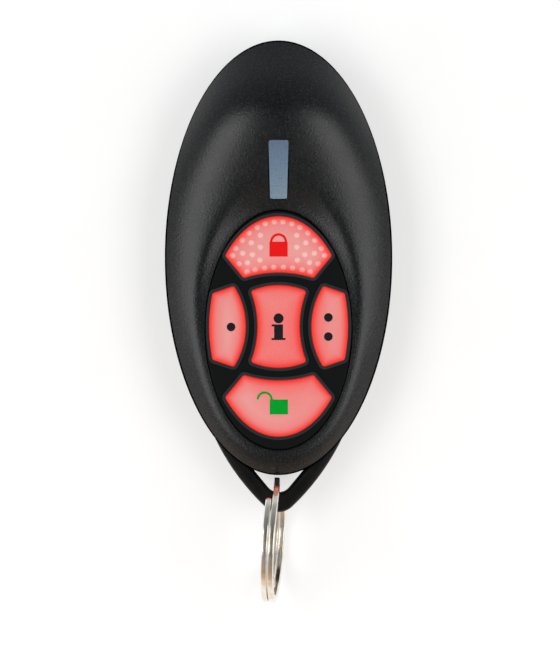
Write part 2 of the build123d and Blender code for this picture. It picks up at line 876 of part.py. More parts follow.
# Coin cell: the can and the smaller cap towards the contact
with BuildPart() as coin_cell:
    with BuildSketch(Plane.XY.offset(cell_bottom_z)):
        with Locations((0, cell_y)):
            Circle(cell_diameter / 2)
    extrude(amount=cell_height - cell_cap_step)
    fillet(coin_cell.edges().group_by(Axis.Z)[0], cell_edge_radius)
    with BuildSketch(Plane.XY.offset(cell_top_z - cell_cap_step)):
        with Locations((0, cell_y)):
            Circle(cell_cap_diameter / 2)
    extrude(amount=cell_cap_step)
coin_cell.part.label = "coin_cell"
export_step(coin_cell.part, "parts/coin_cell.step")

# Battery clip: a sprung strap under the cell, with feet on the board
with BuildPart() as battery_clip:
    strap_reach = cell_diameter / 2 + strap_side_gap
    strap_z = cell_bottom_z - strap_thickness
    with BuildSketch(Plane.XZ.offset(-cell_y)):
        with BuildLine():
            strap_line = Polyline(
                (-strap_reach - strap_foot, board_underside_z - strap_thickness / 2),
                (-strap_reach, board_underside_z - strap_thickness / 2),
                (-strap_reach, strap_z + strap_thickness / 2),
                (strap_reach, strap_z + strap_thickness / 2),
                (strap_reach, board_underside_z - strap_thickness / 2),
                (strap_reach + strap_foot, board_underside_z - strap_thickness / 2),
            )
            offset(strap_line, amount=strap_thickness / 2, kind=Kind.INTERSECTION)
        make_face()
    extrude(amount=strap_width / 2, both=True)
battery_clip.part.label = "battery_clip"
export_step(battery_clip.part, "parts/battery_clip.step")

# Battery contact: the round spring pad between the cell's cap and the board
with BuildPart() as battery_contact:
    with BuildSketch(Plane.XY.offset(cell_top_z)):
        with Locations((0, cell_y)):
            Circle(contact_diameter / 2)
    extrude(amount=contact_thickness)
battery_contact.part.label = "battery_contact"
export_step(battery_contact.part, "parts/battery_contact.step")

# Cover screws: three cross-head screws up through the rear towers into the bosses
with BuildPart() as cover_screws:
    with BuildSketch(Plane.XY.offset(screw_recess)):
        with Locations(*tower_places):
            Circle(screw_head_diameter / 2)
    extrude(amount=screw_head_height)
    with BuildSketch(Plane.XY.offset(screw_recess + screw_head_height)):
        with Locations(*tower_places):
            Circle(screw_diameter / 2)
    extrude(amount=tower_joint_z + screw_reach - screw_recess - screw_head_height)
    with BuildSketch(Plane.XY.offset(screw_recess)):
        with Locations(*tower_places):
            Rectangle(screw_slot_length, screw_slot_width)
            Rectangle(screw_slot_width, screw_slot_length)
    extrude(amount=screw_slot_depth, mode=Mode.SUBTRACT)
cover_screws.part.label = "cover_screws"
export_step(cover_screws.part, "parts/cover_screws.step")

# Split ring: one flat wire that winds round twice, with a sloping step between its turns
ring_outer = ring_diameter / 2
ring_inner = ring_outer - ring_band
wire_radius = ring_outer - ring_band / 2
ring_pitch = ring_wire + ring_gap


def ring_point(angle, height):
    """A point on the wire's centre line, before the ring is placed."""
    turn = math.radians(angle)
    return Vector(wire_radius * math.cos(turn), wire_radius * math.sin(turn), height)


with BuildLine() as ring_path:
    ThreePointArc(ring_point(0, 0), ring_point(90, 0), ring_point(180, 0))
    ThreePointArc(ring_point(180, 0), ring_point(225, 0), ring_point(270, 0))
    step_start = TangentArc(ring_point(270, 0), ring_point(315, ring_pitch / 2), tangent=(1, 0, 0))
    TangentArc(step_start @ 1, ring_point(360, ring_pitch), tangent=step_start % 1)
    ThreePointArc(
        ring_point(0, ring_pitch), ring_point(90, ring_pitch), ring_point(180, ring_pitch)
    )
    ThreePointArc(
        ring_point(180, ring_pitch), ring_point(225, ring_pitch), ring_point(270, ring_pitch)
    )

ring_line = ring_path.wire()
with BuildPart() as ring_blank:
    with BuildSketch(Plane(origin=ring_line @ 0, x_dir=(1, 0, 0), z_dir=ring_line % 0)):
        RectangleRounded(ring_band, ring_wire, ring_edge_radius)
    sweep(path=ring_line)

bar_y = (loop.part.bounding_box().min.Y + eye_apex_y) / 2

# The ring stands on edge: its lowest point just clears the table and the bar is inside it
ring_axis = Vector(1, -math.tan(math.radians(ring_lean)), math.tan(math.radians(ring_yaw)))
ring_axis = ring_axis.normalized()
ring_half_band = (ring_pitch + ring_wire) / 2
ring_reach_z = ring_outer * math.hypot(ring_axis.X, ring_axis.Y) + ring_half_band * ring_axis.Z
ring_z = ring_reach_z + ring_rest_gap
ring_hang = ring_inner - loop_thickness / 2 - ring_play
ring_y = bar_y - math.sqrt(ring_hang**2 - (ring_z - bar_z) ** 2)
ring_x = ring_shift_x + (ring_y - bar_y) * math.tan(math.radians(ring_lean))
ring_centre = Vector(ring_x, ring_y, ring_z) - ring_axis * (ring_pitch / 2)
ring_place = Plane(origin=ring_centre, x_dir=(0, -1, -1), z_dir=ring_axis)

with BuildPart() as split_ring:
    with Locations(ring_place):
        add(ring_blank.part)
split_ring.part.label = "split_ring"
export_step(split_ring.part, "parts/split_ring.step")


def least_ring_gap():
    """Least clear space between the ring's two turns, from points along its centre line."""
    count = 4 * ring_samples
    points = [ring_line @ (index / count) for index in range(count + 1)]
    half_turn = math.pi * wire_radius
    step = ring_line.length / count
    apart = [
        (points[first] - points[second]).length
        for first in range(count + 1)
        for second in range(first)
        if (first - second) * step > half_turn
    ]
    return min(apart) - ring_wire


print("least gap between the ring's turns:", round(least_ring_gap(), 3))
print("bar", round(bar_y, 3), round(bar_z, 3), "ring centre", ring_x, ring_y, ring_z)
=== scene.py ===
import json
import math

import bmesh
import bpy
import numpy as np
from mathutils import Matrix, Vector
from mathutils.geometry import delaunay_2d_cdt


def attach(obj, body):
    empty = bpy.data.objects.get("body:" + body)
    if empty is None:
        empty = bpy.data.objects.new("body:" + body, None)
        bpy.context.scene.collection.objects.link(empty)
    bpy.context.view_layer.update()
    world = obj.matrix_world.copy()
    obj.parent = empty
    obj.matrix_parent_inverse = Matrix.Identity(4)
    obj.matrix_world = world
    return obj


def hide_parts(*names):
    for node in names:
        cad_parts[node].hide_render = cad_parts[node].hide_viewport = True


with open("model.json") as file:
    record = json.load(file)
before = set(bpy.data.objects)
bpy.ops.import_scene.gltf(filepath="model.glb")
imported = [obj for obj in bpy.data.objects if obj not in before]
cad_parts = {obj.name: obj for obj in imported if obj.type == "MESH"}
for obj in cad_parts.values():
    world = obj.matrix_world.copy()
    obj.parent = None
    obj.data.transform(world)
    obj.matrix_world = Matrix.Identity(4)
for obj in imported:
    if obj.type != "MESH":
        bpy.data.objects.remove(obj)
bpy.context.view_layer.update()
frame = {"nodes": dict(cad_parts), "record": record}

nodes = frame["nodes"]

# Sizes of the fob in millimetres, as in the CAD source. Only the ring is drawn otherwise: its
# wire is wider and its turns are closer together, as on a real ring, within the CAD ring's box
mm = 0.001
half_width = 18.35
half_length = 35.05
parting_z = 8.4
parting_chamfer = 0.15
rim_z = 9.0
rim_radius = 0.6
top_wall = 1.3
crown_height = 3.0
crest_rise = 4.0
crest_y = 26.0
crest_spread = 11.0
tail_rise = 2.0
tail_y = -34.0
tail_spread = 9.0
keypad_width = 23.7
keypad_length = 38.6
keypad_y = -11.66
keypad_gap = 0.04
dish_z = 10.85
dish_reach_share = 0.12
dish_softness_share = 0.05
lens_top_y = 18.68
lens_bottom_y = 9.4
lens_top_width = 3.2
lens_bottom_width = 2.7
lens_corner_radius = 0.35
lens_clearance = 0.05
group_y = -11.08
group_half_width = 11.2
group_half_height = 17.7
key_top_z = 11.3
bump_radius = 0.52
bump_height = 0.12
frame_top_z = 10.7
collar_height = 0.22
ring_centre = (-0.841, -45.403, 10.169)
ring_lean = math.radians(3.5)
ring_yaw = math.radians(5.0)
ring_outer = 10.05
ring_band = 1.2
ring_wire = 0.93
ring_pitch = 1.05
ring_edge = 0.2


def dome_height(x, y):
    """Height of the front cover's outer face over a point of the outline's plane."""
    rim_share = (x / half_width) ** 2 + (y / half_length) ** 2
    crest = crest_rise * math.exp(-(((y - crest_y) / crest_spread) ** 2))
    tail = tail_rise * math.exp(-(((y - tail_y) / tail_spread) ** 2))
    plain = rim_z + (crown_height + crest + tail) * (1 - rim_share**2)
    oval_share = math.hypot(2 * x / keypad_width, 2 * (y - keypad_y) / keypad_length)
    dish_share = 1 / (1 + math.exp((oval_share - 1 - dish_reach_share) / dish_softness_share))
    return plain + (dish_z - plain) * dish_share


# Meshes
def new_object(name, points, faces, material, normals=None, crease=math.radians(35)):
    """A mesh object from points in millimetres, smooth but for its creases."""
    mesh = bpy.data.meshes.new(name)
    mesh.from_pydata([[c * mm for c in p] for p in points], [], faces)
    for polygon in mesh.polygons:
        polygon.use_smooth = True
    mesh.set_sharp_from_angle(angle=crease)
    if normals:
        mesh.normals_split_custom_set_from_vertices(normals)
    mesh.materials.append(material)
    made = bpy.data.objects.new(name, mesh)
    bpy.context.scene.collection.objects.link(made)
    return made


def oval(radius_x, radius_y, centre_y, grow, count):
    """An ellipse moved outwards by grow along its normals, as a closed ring of points."""
    ring = []
    for step in range(count):
        turn = 2 * math.pi * step / count
        normal = Vector((math.cos(turn) / radius_x, math.sin(turn) / radius_y)).normalized()
        x = radius_x * math.cos(turn) + grow * normal.x
        y = centre_y + radius_y * math.sin(turn) + grow * normal.y
        ring.append((x, y))
    return ring


def rounded_polygon(corners, radius, grow, steps):
    """A convex polygon, anticlockwise, with round corners, moved outwards by grow."""
    ring = []
    count = len(corners)
    for i in range(count):
        here = Vector(corners[i])
        before = (Vector(corners[i - 1]) - here).normalized()
        after = (Vector(corners[(i + 1) % count]) - here).normalized()
        half_angle = before.angle(after) / 2
        centre = here + (before + after).normalized() * radius / math.sin(half_angle)
        start = Vector((-before.y, before.x))
        if start.dot(here - centre) < 0:
            start = -start
        sweep = math.pi - 2 * half_angle
        for step in range(steps + 1):
            turn = sweep * step / steps
            arm = Vector((
                start.x * math.cos(turn) - start.y * math.sin(turn),
                start.x * math.sin(turn) + start.y * math.cos(turn),
            ))
            ring.append(tuple(centre + arm * (radius + grow)))
    return ring


def lens_ring(grow):
    """The outline of the lens opening."""
    corners = [
        (-lens_bottom_width / 2, lens_bottom_y),
        (lens_bottom_width / 2, lens_bottom_y),
        (lens_top_width / 2, lens_top_y),
        (-lens_top_width / 2, lens_top_y),
    ]
    corner_steps = 10
    return rounded_polygon(corners, lens_corner_radius, lens_clearance + grow, corner_steps)


def keypad_ring(grow):
    """The outline of the keypad opening."""
    point_count = 300
    return oval(keypad_width / 2, keypad_length / 2, keypad_y, keypad_gap + grow, point_count)


def inside(rings, x, y):
    """Which points lie inside an odd number of closed rings."""
    found = np.zeros(x.shape, bool)
    for ring in rings:
        for (ax, ay), (bx, by) in zip(ring[-1:] + ring[:-1], ring):
            if ay != by:
                crossed = (ay > y) != (by > y)
                found ^= crossed & (x < ax + (y - ay) * (bx - ax) / (by - ay))
    return found


def distance(ring, x, y):
    """How far points are from a closed ring."""
    least = np.full(x.shape, np.inf)
    for (ax, ay), (bx, by) in zip(ring[-1:] + ring[:-1], ring):
        dx, dy = bx - ax, by - ay
        along = np.clip(((x - ax) * dx + (y - ay) * dy) / (dx * dx + dy * dy), 0, 1)
        least = np.minimum(least, np.hypot(x - ax - along * dx, y - ay - along * dy))
    return least


def filled(rings, pitch, margin):
    """Points and triangles that fill the space inside an odd number of rings. The rings' own
    points come first, and the others keep a margin from them."""
    tolerance = 1e-7
    outline = np.array(rings[0])
    low, high = outline.min(0), outline.max(0)
    row_pitch = pitch * math.sqrt(3) / 2
    rows = int((high[1] - low[1]) / row_pitch)
    columns = int((high[0] - low[0]) / pitch)
    row, column = np.meshgrid(np.arange(rows + 1), np.arange(columns + 1), indexing="ij")
    x = (low[0] + (column + (row % 2) / 2) * pitch).ravel()
    y = (low[1] + row * row_pitch).ravel()
    keep = inside(rings, x, y)
    for ring in rings:
        keep &= distance(ring, x, y) > margin
    points = [p for ring in rings for p in ring] + list(zip(x[keep], y[keep]))
    edges = []
    start = 0
    for ring in rings:
        edges += [(start + i, start + (i + 1) % len(ring)) for i in range(len(ring))]
        start += len(ring)
    laid, _, triangles, sources, _, _ = delaunay_2d_cdt(
        [Vector(p) for p in points], edges, [], 0, tolerance
    )
    corners = np.array([laid[i] for face in triangles for i in face]).reshape(-1, 3, 2)
    middle = corners.mean(1)
    kept = inside(rings, middle[:, 0], middle[:, 1])
    faces = [[sources[i][0] for i in face] for face, stays in zip(triangles, kept) if stays]
    return points, faces


def band(faces, ring_a, ring_b):
    """Quads between two rings of point numbers."""
    count = len(ring_a)
    for i in range(count):
        j = (i + 1) % count
        faces.append([ring_a[i], ring_a[j], ring_b[j], ring_b[i]])


def dome_normal(x, y):
    """The direction that the front cover's outer face looks in."""
    step = 0.01
    slope_x = (dome_height(x + step, y) - dome_height(x - step, y)) / (2 * step)
    slope_y = (dome_height(x, y + step) - dome_height(x, y - step)) / (2 * step)
    return Vector((-slope_x, -slope_y, 1)).normalized()


def inner_height(x, y):
    """Height of the front cover's inner face."""
    return max(parting_z, dome_height(x, y) - top_wall)


def rim_loops(count, steps):
    """Rings of points from the domed face round the rolled rim to its foot, and the direction
    that the surface looks in at each point."""
    near_share = 1 / 4
    loops = [[] for _ in range(steps + 1)]
    directions = [[] for _ in range(steps + 1)]
    for x, y in oval(half_width, half_length, 0, 0, count):
        inward = -Vector((x / half_width**2, y / half_length**2)).normalized()
        reach = rim_radius * near_share
        near = dome_height(x + inward.x * reach, y + inward.y * reach)
        far = dome_height(x + inward.x * rim_radius, y + inward.y * rim_radius)
        slope = math.atan((far - near) / (rim_radius * (1 - near_share)))
        depth = rim_radius * (1 - math.sin(slope))
        touch_z = dome_height(x + inward.x * depth, y + inward.y * depth)
        centre_z = touch_z - rim_radius * math.cos(slope)
        for step in range(steps + 1):
            turn = math.pi / 2 + slope + (math.pi / 2 - slope) * step / steps
            out = math.cos(turn)
            d = rim_radius + rim_radius * out
            z = centre_z + rim_radius * math.sin(turn)
            loops[step].append((x + inward.x * d, y + inward.y * d, z))
            directions[step].append(Vector((inward.x * out, inward.y * out, math.sin(turn))))
    return loops, directions


def front_shell(material):
    """The domed front cover: its outer face, rounded rim, openings and inner face."""
    rim_count = 420
    rim_steps = 8
    edge_steps = 4
    edge_radius = 0.15
    grid_pitch = 0.42
    grid_margin = 0.2
    unset = Vector((0, 0, 0))
    loops, directions = rim_loops(rim_count, rim_steps)
    wall = [(x, y, parting_z + parting_chamfer) for x, y, z in loops[-1]]
    foot_outline = oval(half_width, half_length, 0, -parting_chamfer, rim_count)
    foot = [(x, y, parting_z) for x, y in foot_outline]
    makers = [lens_ring, keypad_ring]
    outline = [(x, y) for x, y, z in loops[0]]
    rings = [outline] + [make(edge_radius) for make in makers]
    flat, triangles = filled(rings, grid_pitch, grid_margin)
    top_count = len(flat)
    points = [(x, y, dome_height(x, y)) for x, y in flat]
    points += [(x, y, inner_height(x, y)) for x, y in flat]
    normals = [dome_normal(x, y) for x, y in flat] + [unset] * top_count
    faces = [list(face) for face in triangles]
    faces += [[i + top_count for i in reversed(face)] for face in triangles]

    def add_ring(ring, ways=None):
        start = len(points)
        points.extend(ring)
        normals.extend(ways or [unset] * len(ring))
        return list(range(start, start + len(ring)))

    last = list(range(rim_count))
    rim_rings = list(zip(loops[1:], directions[1:])) + [(wall, None), (foot, None)]
    for loop, ways in rim_rings:
        ring = add_ring(loop, ways)
        band(faces, last, ring)
        last = ring
    band(faces, last, [i + top_count for i in range(rim_count)])
    start = rim_count
    for make in makers:
        count = len(make(0))
        last = list(range(start, start + count))
        for step in range(1, edge_steps + 1):
            turn = math.pi / 2 * step / edge_steps
            flat_ring = make(edge_radius * (1 - math.sin(turn)))
            drop = edge_radius * (1 - math.cos(turn))
            ring = add_ring([(x, y, dome_height(x, y) - drop) for x, y in flat_ring])
            band(faces, ring, last)
            last = ring
        low = add_ring([(x, y, inner_height(x, y)) for x, y in make(0)])
        band(faces, low, last)
        band(faces, [i + top_count for i in range(start, start + count)], low)
        start += count
    return new_object("front_shell", points, faces, material, normals)


def open_rings(bm):
    """The open edges of a mesh, as closed rings of its points, the longest first."""
    left = {edge.index: edge for edge in bm.edges if len(edge.link_faces) == 1}
    rings = []
    while left:
        edge = left.pop(next(iter(left)))
        first, here = edge.verts
        ring = [first]
        while here is not first:
            ring.append(here)
            onward = next(e for e in here.link_edges if e.index in left)
            del left[onward.index]
            here = onward.other_vert(here)
        rings.append(ring)
    return sorted(rings, key=lambda ring: min(v.co.y for v in ring) - max(v.co.y for v in ring))


def bump_centres(points):
    """The middles of groups of joined points, in millimetres."""
    left = {v.index: v for v in points}
    centres = []
    while left:
        group = [left.pop(next(iter(left)))]
        for v in group:
            for edge in v.link_edges:
                other = left.pop(edge.other_vert(v).index, None)
                if other is not None:
                    group.append(other)
        x = sum(v.co.x for v in group) / len(group) / mm
        y = sum(v.co.y for v in group) / len(group) / mm
        centres.append((x, y))
    return centres


def key_cap(name, pitch, material):
    """A key with its top laid out again in small triangles and its bumps rounded. Two values
    go with each point: how far it is from the key's edge, and how far up a bump it is."""
    slack = 2e-6
    weld = 1e-8
    bump_power = 1.5
    crease = math.radians(40)
    top = key_top_z * mm
    bm = bmesh.new()
    bm.from_mesh(nodes[f"{name}_button"].data)
    bmesh.ops.remove_doubles(bm, verts=bm.verts, dist=weld)
    bm.verts.index_update()
    centres = bump_centres([v for v in bm.verts if v.co.z > top + slack])
    lifted = [f for f in bm.faces if all(v.co.z > top - slack for v in f.verts)]
    bmesh.ops.delete(bm, geom=lifted, context="FACES")
    bm.verts.index_update()
    bm.edges.index_update()
    rings = open_rings(bm)
    flat_rings = [[(v.co.x / mm, v.co.y / mm) for v in ring] for ring in rings]
    flat, triangles = filled(flat_rings, pitch, pitch / 2)
    x, y = np.array(flat).T
    lift = np.zeros(len(flat))
    for cx, cy in centres:
        reach = np.minimum(np.hypot(x - cx, y - cy) / bump_radius, 1)
        lift = np.maximum(lift, (1 - reach**2) ** bump_power)
    corners = [v for ring in rings for v in ring]
    for i in range(len(corners), len(flat)):
        z = top + bump_height * mm * lift[i]
        corners.append(bm.verts.new((x[i] * mm, y[i] * mm, z)))
    for face in triangles:
        bm.faces.new([corners[i] for i in face])
    bm.verts.index_update()
    from_edge = distance(flat_rings[0], x, y)
    edge_values = np.zeros(len(bm.verts), np.float32)
    bump_values = np.zeros(len(bm.verts), np.float32)
    for i, v in enumerate(corners):
        edge_values[v.index] = from_edge[i]
        bump_values[v.index] = lift[i]
    mesh = bpy.data.meshes.new(f"{name}_cap")
    bm.to_mesh(mesh)
    bm.free()
    mesh.attributes.new("from_edge", "FLOAT", "POINT").data.foreach_set("value", edge_values)
    mesh.attributes.new("up_bump", "FLOAT", "POINT").data.foreach_set("value", bump_values)
    for polygon in mesh.polygons:
        polygon.use_smooth = True
    mesh.set_sharp_from_angle(angle=crease)
    mesh.materials.clear()
    mesh.materials.append(material)
    made = bpy.data.objects.new(f"{name}_cap", mesh)
    bpy.context.scene.collection.objects.link(made)
    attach(made, f"{name}_key")
    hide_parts(f"{name}_button")
    return made


def wire_section():
    """The outline of the ring's flat wire, with round corners: outwards, and along the axis."""
    corner_steps = 5
    section = []
    for quarter in range(4):
        out = 1 if quarter in (0, 3) else -1
        up = 1 if quarter < 2 else -1
        for step in range(corner_steps + 1):
            angle = math.pi / 2 * quarter + math.pi / 2 * step / corner_steps
            section.append((
                out * (ring_band / 2 - ring_edge) + ring_edge * math.cos(angle),
                up * (ring_wire / 2 - ring_edge) + ring_edge * math.sin(angle),
            ))
    return section


def split_ring(material):
    """Two turns of flat wire with a sloping step between them, at the casing's end. Turns are
    counted from the ring's lowest point, towards the casing first."""
    start_turns = -0.625
    step_turns = 0.25
    turns = 2 - step_turns
    count = 420
    end_shares = (0.86, 0.97)
    crease = math.radians(50)
    axis = Vector((1, -math.tan(ring_lean), math.tan(ring_yaw))).normalized()
    down = Vector((0, 0, -1))
    down = (down - axis * down.dot(axis)).normalized()
    across = axis.cross(down)
    section = wire_section()
    points, faces, rings = [], [], []
    for i in range(count + 1):
        share = turns * i / count
        angle = 2 * math.pi * (share + start_turns)
        along = min(max((share - 1 + step_turns) / step_turns, 0), 1)
        lift = ring_pitch * (along * along * (3 - 2 * along) - 0.5)
        outward = down * math.cos(angle) + across * math.sin(angle)
        from_end = min(i, count - i)
        shrink = end_shares[from_end] if from_end < len(end_shares) else 1
        ring = []
        for r, h in section:
            place = Vector(ring_centre) + axis * (lift + h * shrink)
            place += outward * (ring_outer - ring_band / 2 + r * shrink)
            ring.append(len(points))
            points.append(tuple(place))
        if rings:
            band(faces, rings[-1], ring)
        rings.append(ring)
    faces += [rings[0], rings[-1][::-1]]
    made = new_object("split_ring_wire", points, faces, material, crease=crease)
    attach(made, "key_ring")
    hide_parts("split_ring")
    return made


# Materials
def material_of(name):
    """A material with one shader in it: the material, its tree and the shader."""
    material = bpy.data.materials.new(name)
    material.use_nodes = True
    tree = material.node_tree
    tree.nodes.clear()
    output = tree.nodes.new("ShaderNodeOutputMaterial")
    shader = tree.nodes.new("ShaderNodeBsdfPrincipled")
    tree.links.new(shader.outputs[0], output.inputs[0])
    return material, tree, shader


def place_of(tree, centre=(0, 0, 0), scale=(1, 1, 1)):
    """The point on the piece, in its own frame, moved and stretched."""
    coordinates = tree.nodes.new("ShaderNodeTexCoord")
    mapping = tree.nodes.new("ShaderNodeMapping")
    mapping.inputs["Location"].default_value = [-c * s for c, s in zip(centre, scale)]
    mapping.inputs["Scale"].default_value = scale
    tree.links.new(coordinates.outputs["Object"], mapping.inputs["Vector"])
    return mapping.outputs[0]


def noise(tree, size, detail=4.0, stretch=(1, 1, 1)):
    """A noise with features of about size, in metres."""
    texture = tree.nodes.new("ShaderNodeTexNoise")
    texture.inputs["Scale"].default_value = 1 / size
    texture.inputs["Detail"].default_value = detail
    tree.links.new(place_of(tree, scale=stretch), texture.inputs["Vector"])
    return texture.outputs[0]


def between(tree, factor, low, high, start=0.3, end=0.7):
    """A number from low to high as a factor goes from start to end."""
    ramp = tree.nodes.new("ShaderNodeMapRange")
    ramp.inputs["From Min"].default_value = start
    ramp.inputs["From Max"].default_value = end
    ramp.inputs["To Min"].default_value = low
    ramp.inputs["To Max"].default_value = high
    tree.links.new(factor, ramp.inputs["Value"])
    return ramp.outputs[0]


def colours(tree, factor, stops):
    """A colour from a factor, by stops of (place, colour)."""
    ramp = tree.nodes.new("ShaderNodeValToRGB")
    elements = ramp.color_ramp.elements
    while len(elements) < len(stops):
        elements.new(0.5)
    for element, (place, colour) in zip(elements, stops):
        element.position = place
        element.color = (*colour, 1)
    tree.links.new(factor, ramp.inputs[0])
    return ramp.outputs[0]


def bump(tree, height, strength, depth):
    """A normal roughened by a height, in metres deep."""
    node = tree.nodes.new("ShaderNodeBump")
    node.inputs["Strength"].default_value = strength
    node.inputs["Distance"].default_value = depth
    tree.links.new(height, node.inputs["Height"])
    return node.outputs[0]


def mixed(tree, factor, first, second):
    """One colour turning into another as a factor goes from 0 to 1."""
    mix = tree.nodes.new("ShaderNodeMix")
    mix.data_type = "RGBA"
    tree.links.new(factor, mix.inputs[0])
    for colour, socket in ((first, mix.inputs[6]), (second, mix.inputs[7])):
        if isinstance(colour, tuple):
            socket.default_value = (*colour, 1)
        else:
            tree.links.new(colour, socket)
    return mix.outputs[2]


def grained(
    name, low, high, rough, size, depth,
    metallic=0.0, stretch=(1, 1, 1), strength=0.5, shine=0.5, glow=None,
):
    """A finish with a grain: two colours, a range of roughness, and the grain's size and depth.
    One that glows has a painted glow in a colour of its own, with no lamp inside it."""
    patch_share = 14
    painted_glow_strength = 0.15
    material, tree, shader = material_of(name)
    broad = noise(tree, size * patch_share, 3.0, stretch)
    fine = noise(tree, size, 5.0, stretch)
    tree.links.new(colours(tree, broad, [(0.35, low), (0.65, high)]), shader.inputs["Base Color"])
    tree.links.new(between(tree, fine, *rough), shader.inputs["Roughness"])
    tree.links.new(bump(tree, fine, strength, depth), shader.inputs["Normal"])
    shader.inputs["Metallic"].default_value = metallic
    shader.inputs["Specular IOR Level"].default_value = shine
    if glow:
        shader.inputs["Emission Color"].default_value = (*glow, 1)
        shader.inputs["Emission Strength"].default_value = painted_glow_strength
    return material


def attribute(tree, name):
    """A value kept at the mesh's points."""
    node = tree.nodes.new("ShaderNodeAttribute")
    node.attribute_name = name
    return node.outputs["Fac"]


def key_material():
    """Translucent lit plastic with its light painted in: deeper red at a key's edge, a painted
    glow of its lit side walls, and towards the middle of the keypad; paler between, and paler
    still on the bumps, a painted reflection of the lamps."""
    deepest_x, deepest_y = 1.5, group_y - 2.5
    edge_reach = 1.15
    edge_power = 1.7
    wide_reach = 2.5
    mottle_size = 0.00018
    grain_size = 0.00009
    grain_depth = 0.00001
    # Painted light: the pale pinks are a painted reflection of the lamps, the deep reds a painted
    # glow of the keys' lit edges
    painted_bump_sheen = (0.95, 0.56, 0.52)
    mottle_red = (0.95, 0.55, 0.52)
    painted_wide_red = (0.88, 0.09, 0.08)
    painted_edge_red = (0.93, 0.04, 0.028)
    material, tree, shader = material_of("red_key")
    scale = (1 / (group_half_width * mm), 1 / (group_half_height * mm), 0)
    length = tree.nodes.new("ShaderNodeVectorMath")
    length.operation = "LENGTH"
    place = place_of(tree, (deepest_x * mm, deepest_y * mm, 0), scale)
    tree.links.new(place, length.inputs[0])
    # Painted reflection: the keys turn paler away from the middle of the keypad
    middle = colours(tree, length.outputs["Value"], [
        (0.0, (0.88, 0.16, 0.155)), (0.25, (0.88, 0.17, 0.16)), (0.42, (0.87, 0.20, 0.19)),
        (0.60, (0.84, 0.24, 0.23)), (0.82, (0.83, 0.32, 0.305)), (1.0, (0.80, 0.29, 0.28)),
    ])
    mottle = between(tree, noise(tree, mottle_size, 3.0), 0.0, 0.14, 0.35, 0.65)
    paler = mixed(tree, mottle, middle, mottle_red)
    wide = between(tree, attribute(tree, "from_edge"), 0.55, 0.0, 0.0, wide_reach)
    deeper = mixed(tree, wide, paler, painted_wide_red)
    # Painted highlight on the tops of the bumps
    bumps = between(tree, attribute(tree, "up_bump"), 0.0, 0.8, 0.03, 0.45)
    dotted = mixed(tree, bumps, deeper, painted_bump_sheen)
    near = between(tree, attribute(tree, "from_edge"), 1.0, 0.0, 0.0, edge_reach)
    sharper = tree.nodes.new("ShaderNodeMath")
    sharper.operation = "POWER"
    sharper.inputs[1].default_value = edge_power
    tree.links.new(near, sharper.inputs[0])
    paint = mixed(tree, sharper.outputs[0], dotted, painted_edge_red)
    tree.links.new(paint, shader.inputs["Base Color"])
    # Painted glow: the key's paint also glows, standing in for its backlight, with no lamp inside
    tree.links.new(paint, shader.inputs["Emission Color"])
    shader.inputs["Emission Strength"].default_value = 0.25
    fine = noise(tree, grain_size, 3.0)
    tree.links.new(between(tree, fine, 0.45, 0.6), shader.inputs["Roughness"])
    tree.links.new(bump(tree, fine, 0.3, grain_depth), shader.inputs["Normal"])
    shader.inputs["Specular IOR Level"].default_value = 0.3
    return material


def cover_material():
    """Satin black plastic with a fine spark-eroded grain that shows as pale specks."""
    speck_size = 0.00027
    speck_depth = 0.00004
    patch_size = 0.0022
    material, tree, shader = material_of("satin_black")
    fine = noise(tree, speck_size, 2.5)
    specks = colours(tree, fine, [
        (0.32, (0.0005, 0.0010, 0.0014)), (0.52, (0.0040, 0.0047, 0.0053)),
        (0.70, (0.0210, 0.0215, 0.0230)),
    ])
    tree.links.new(specks, shader.inputs["Base Color"])
    patches = between(tree, noise(tree, patch_size, 3.0), 0.25, 0.29)
    tree.links.new(patches, shader.inputs["Roughness"])
    tree.links.new(bump(tree, fine, 1.0, speck_depth), shader.inputs["Normal"])
    return material


def frame_material():
    """Soft black plastic, with a painted highlight, paler and greener, on the tops of the raised
    collars.
    """
    mottle_size = 0.0002
    grain_size = 0.0001
    grain_depth = 0.000012
    painted_collar_highlight = (0.024, 0.037, 0.042)
    low_share, high_share = 0.5, 0.9
    material, tree, shader = material_of("soft_black")
    parts = tree.nodes.new("ShaderNodeSeparateXYZ")
    tree.links.new(place_of(tree), parts.inputs[0])
    low = (frame_top_z + collar_height * low_share) * mm
    high = (frame_top_z + collar_height * high_share) * mm
    # Painted highlight: the collar tops get a paler, greener colour by their height
    raised = between(tree, parts.outputs["Z"], 0.0, 1.0, low, high)
    blacks = colours(tree, noise(tree, mottle_size, 3.0), [
        (0.3, (0.0008, 0.0018, 0.0019)), (0.7, (0.0030, 0.0048, 0.0050)),
    ])
    tree.links.new(mixed(tree, raised, blacks, painted_collar_highlight), shader.inputs["Base Color"])
    fine = noise(tree, grain_size, 5.0)
    tree.links.new(between(tree, fine, 0.45, 0.6), shader.inputs["Roughness"])
    tree.links.new(bump(tree, fine, 0.5, grain_depth), shader.inputs["Normal"])
    shader.inputs["Specular IOR Level"].default_value = 0.14
    return material


